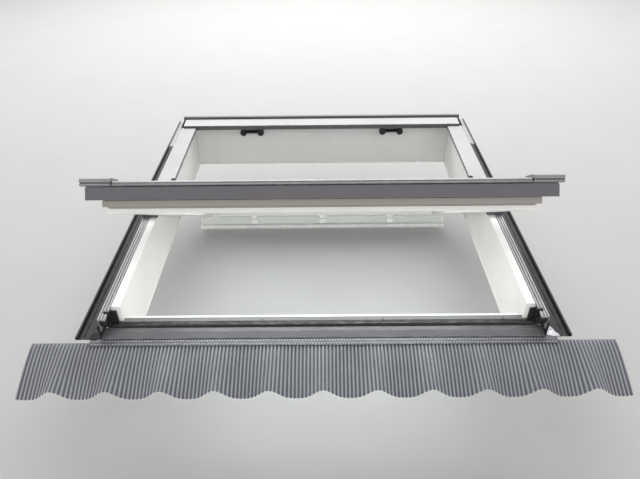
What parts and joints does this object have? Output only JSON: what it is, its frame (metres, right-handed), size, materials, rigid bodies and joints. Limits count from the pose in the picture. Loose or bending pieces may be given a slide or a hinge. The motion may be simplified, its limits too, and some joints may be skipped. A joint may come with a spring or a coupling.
{
  "type": "centre-pivot roof window",
  "caption": "Roof window whose sash turns about its middle, with covers, latch keepers, control bar, side gutters and a pleated apron.",
  "frame": {"origin": "centre of the four fixing-bracket holes, on the plane where the brackets rest on the battens", "axes": "+X to the right seen from outside, +Y up the roof slope, +Z out of the roof"},
  "size_m": [1.76, 1.762, 0.847],
  "materials": {
    "white_paint": "white satin paint",
    "grey_aluminium": "grey satin lacquer",
    "dark_flashing": "dark grey lacquer",
    "apron_sheet": "pleated grey lacquered sheet",
    "black_plastic": "black",
    "black_rubber": "black",
    "glass": "clear",
    "steel": "zinc plated",
    "white_plastic": "white",
    "bare_aluminium": "bare",
    "pale_aluminium": "pale anodised"
  },
  "bodies": {
    "frame": {"jamb_left": "white_paint", "jamb_right": "white_paint", "head": "white_paint", "sill": "white_paint", "sill_cladding": "grey_aluminium", "sill_gasket": "black_rubber", "jamb_cladding_left": "grey_aluminium", "jamb_cladding_right": "grey_aluminium", "corner_block_left": "black_plastic", "corner_block_right": "black_plastic", "keeper_left": "black_plastic", "keeper_right": "black_plastic", "hood": "grey_aluminium", "upper_cover_left": "grey_aluminium", "upper_cover_right": "grey_aluminium", "frame_plate_left": "steel", "frame_plate_right": "steel", "front_flashing": "dark_flashing", "apron": "apron_sheet", "gutter_left": "dark_flashing", "gutter_right": "dark_flashing", "flashing_corner_left": "dark_flashing", "flashing_corner_right": "bare_aluminium", "top_flashing": "dark_flashing", "bracket_low_left": "steel", "bracket_low_right": "steel", "bracket_high_left": "steel", "bracket_high_right": "steel", "screws": "steel"},
    "sash": {"stile_left": "white_paint", "stile_right": "white_paint", "sash_top_rail": "white_paint", "sash_bottom_rail": "white_paint", "pane_outer": "glass", "pane_inner": "glass", "pane_spacer": "bare_aluminium", "glazing_seal": "black_rubber", "bead_left": "grey_aluminium", "bead_right": "grey_aluminium", "bead_top": "grey_aluminium", "bottom_cover": "grey_aluminium", "side_cover_left": "grey_aluminium", "side_cover_right": "grey_aluminium", "cover_end_left": "grey_aluminium", "cover_end_right": "grey_aluminium", "sash_plate_left": "steel", "sash_plate_right": "steel", "latch_case_left": "steel", "latch_case_right": "steel", "bar_hinge_left": "white_plastic", "bar_hinge_middle": "white_plastic", "bar_hinge_right": "white_plastic"},
    "control_bar": {"control_bar": "pale_aluminium", "bar_cap_left": "pale_aluminium", "bar_cap_right": "pale_aluminium", "bar_bracket_left": "white_plastic", "bar_bracket_middle": "white_plastic", "bar_bracket_right": "white_plastic"},
    "claw_left": {"claw_left": "steel"},
    "claw_right": {"claw_right": "steel"}
  },
  "joints": [
    {"name": "sash_pivot", "type": "hinge", "parent": "frame", "child": "sash", "pos_m": [0, 0, 0.072], "axis": [-1, 0, 0], "range_deg": [-34, 116]},
    {"name": "bar_turn", "type": "hinge", "parent": "sash", "child": "control_bar", "pos_m": [0, 0.45824, -0.32876], "axis": [1, 0, 0], "range_deg": [0, 25]},
    {"name": "claw_left_turn", "type": "hinge", "parent": "sash", "child": "claw_left", "pos_m": [-0.341, 0.49607, -0.30844], "axis": [-1, 0, 0], "range_deg": [0, 65]},
    {"name": "claw_right_turn", "type": "hinge", "parent": "sash", "child": "claw_right", "pos_m": [0.341, 0.49607, -0.30844], "axis": [-1, 0, 0], "range_deg": [0, 65]}
  ],
  "couplings": [
    {"joint": "claw_left_turn", "follows": "bar_turn", "ratio": 2.6},
    {"joint": "claw_right_turn", "follows": "bar_turn", "ratio": 2.6}
  ]
}
